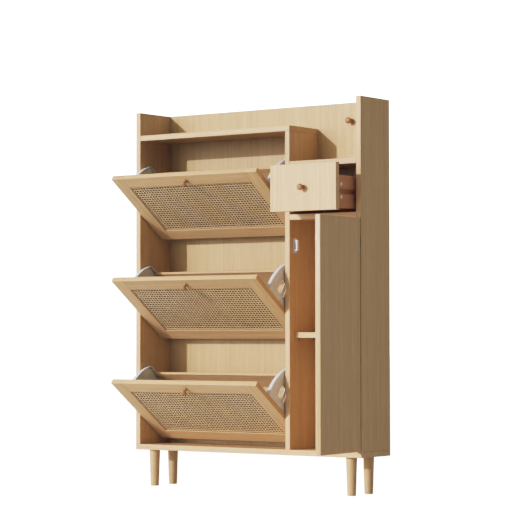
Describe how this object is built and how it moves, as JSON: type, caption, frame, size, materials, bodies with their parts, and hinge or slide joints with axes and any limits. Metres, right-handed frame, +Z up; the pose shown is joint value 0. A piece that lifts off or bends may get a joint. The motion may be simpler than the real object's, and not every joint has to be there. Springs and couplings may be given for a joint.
{
  "type": "shoe cabinet",
  "caption": "Tall, shallow shoe cabinet on tapered legs, with tip-out cane flaps, a small drawer over a side-hung door, and an open top with raised sides.",
  "frame": {"origin": "on the floor, at the middle of the rectangle that the cabinet covers as it stands, with its flaps tipped out, drawer pulled and door open", "axes": "+X towards the cabinet's right side seen from the front (the door side), +Y towards the back panel, +Z up"},
  "size_m": [0.9186, 0.4167, 1.244],
  "materials": {
    "oak_board": "light oak grain, matt lacquer",
    "leg_wood": "warm solid wood, satin",
    "knob_wood": "turned solid wood, satin",
    "cane_webbing": "natural woven cane",
    "white_plastic": "moulded, satin",
    "steel_fittings": "zinc plated"
  },
  "bodies": {
    "carcass": {"left_side_panel": "oak_board", "right_side_panel": "oak_board", "divider_panel": "oak_board", "bottom_panel": "oak_board", "top_shelf": "oak_board", "niche_shelf": "oak_board", "drawer_shelf": "oak_board", "back_panel": "oak_board", "inner_shelf": "oak_board", "leg_front_left": "leg_wood", "leg_front_right": "leg_wood", "leg_back_left": "leg_wood", "leg_back_right": "leg_wood", "carcass_fasteners": "steel_fittings", "flap_pins": "white_plastic", "drawer_runners": "oak_board", "hinge_brackets": "steel_fittings", "magnetic_catch": "white_plastic", "catch_magnet": "steel_fittings", "key_peg": "knob_wood"},
    "upper_flap": {"upper_flap_left_stile": "oak_board", "upper_flap_right_stile": "oak_board", "upper_flap_top_rail": "oak_board", "upper_flap_bottom_rail": "oak_board", "upper_flap_cane": "cane_webbing", "upper_flap_backing": "oak_board", "upper_flap_knob": "knob_wood", "upper_flap_brackets": "white_plastic", "upper_flap_tray_base": "oak_board", "upper_flap_tray_back": "oak_board"},
    "middle_flap": {"middle_flap_left_stile": "oak_board", "middle_flap_right_stile": "oak_board", "middle_flap_top_rail": "oak_board", "middle_flap_bottom_rail": "oak_board", "middle_flap_cane": "cane_webbing", "middle_flap_backing": "oak_board", "middle_flap_knob": "knob_wood", "middle_flap_brackets": "white_plastic", "middle_flap_tray_base": "oak_board", "middle_flap_tray_back": "oak_board"},
    "lower_flap": {"lower_flap_left_stile": "oak_board", "lower_flap_right_stile": "oak_board", "lower_flap_top_rail": "oak_board", "lower_flap_bottom_rail": "oak_board", "lower_flap_cane": "cane_webbing", "lower_flap_backing": "oak_board", "lower_flap_knob": "knob_wood", "lower_flap_brackets": "white_plastic", "lower_flap_tray_base": "oak_board", "lower_flap_tray_back": "oak_board"},
    "drawer": {"drawer_front": "oak_board", "drawer_left_side": "oak_board", "drawer_right_side": "oak_board", "drawer_back": "oak_board", "drawer_bottom": "oak_board", "drawer_knob": "knob_wood", "drawer_cam_caps": "white_plastic"},
    "door": {"door_panel": "oak_board", "door_hinge_leaves": "steel_fittings", "door_strike_plate": "steel_fittings"}
  },
  "joints": [
    {"name": "upper_flap_tilt", "type": "hinge", "parent": "carcass", "child": "upper_flap", "pos_m": [-0.1448, 0.0973, 0.929], "axis": [1, 0, 0], "range_deg": [-54.5, 0]},
    {"name": "middle_flap_tilt", "type": "hinge", "parent": "carcass", "child": "middle_flap", "pos_m": [-0.1448, 0.0973, 0.595], "axis": [1, 0, 0], "range_deg": [-54.5, 0]},
    {"name": "lower_flap_tilt", "type": "hinge", "parent": "carcass", "child": "lower_flap", "pos_m": [-0.1448, 0.0973, 0.261], "axis": [1, 0, 0], "range_deg": [-54.5, 0]},
    {"name": "drawer_slide", "type": "slide", "parent": "carcass", "child": "drawer", "axis": [0, -1, 0], "range_m": [-0.108, 0]},
    {"name": "door_swing", "type": "hinge", "parent": "carcass", "child": "door", "pos_m": [0.4312, 0.0511, 0.501], "axis": [0, 0, 1], "range_deg": [-94.5, 0]}
  ]
}
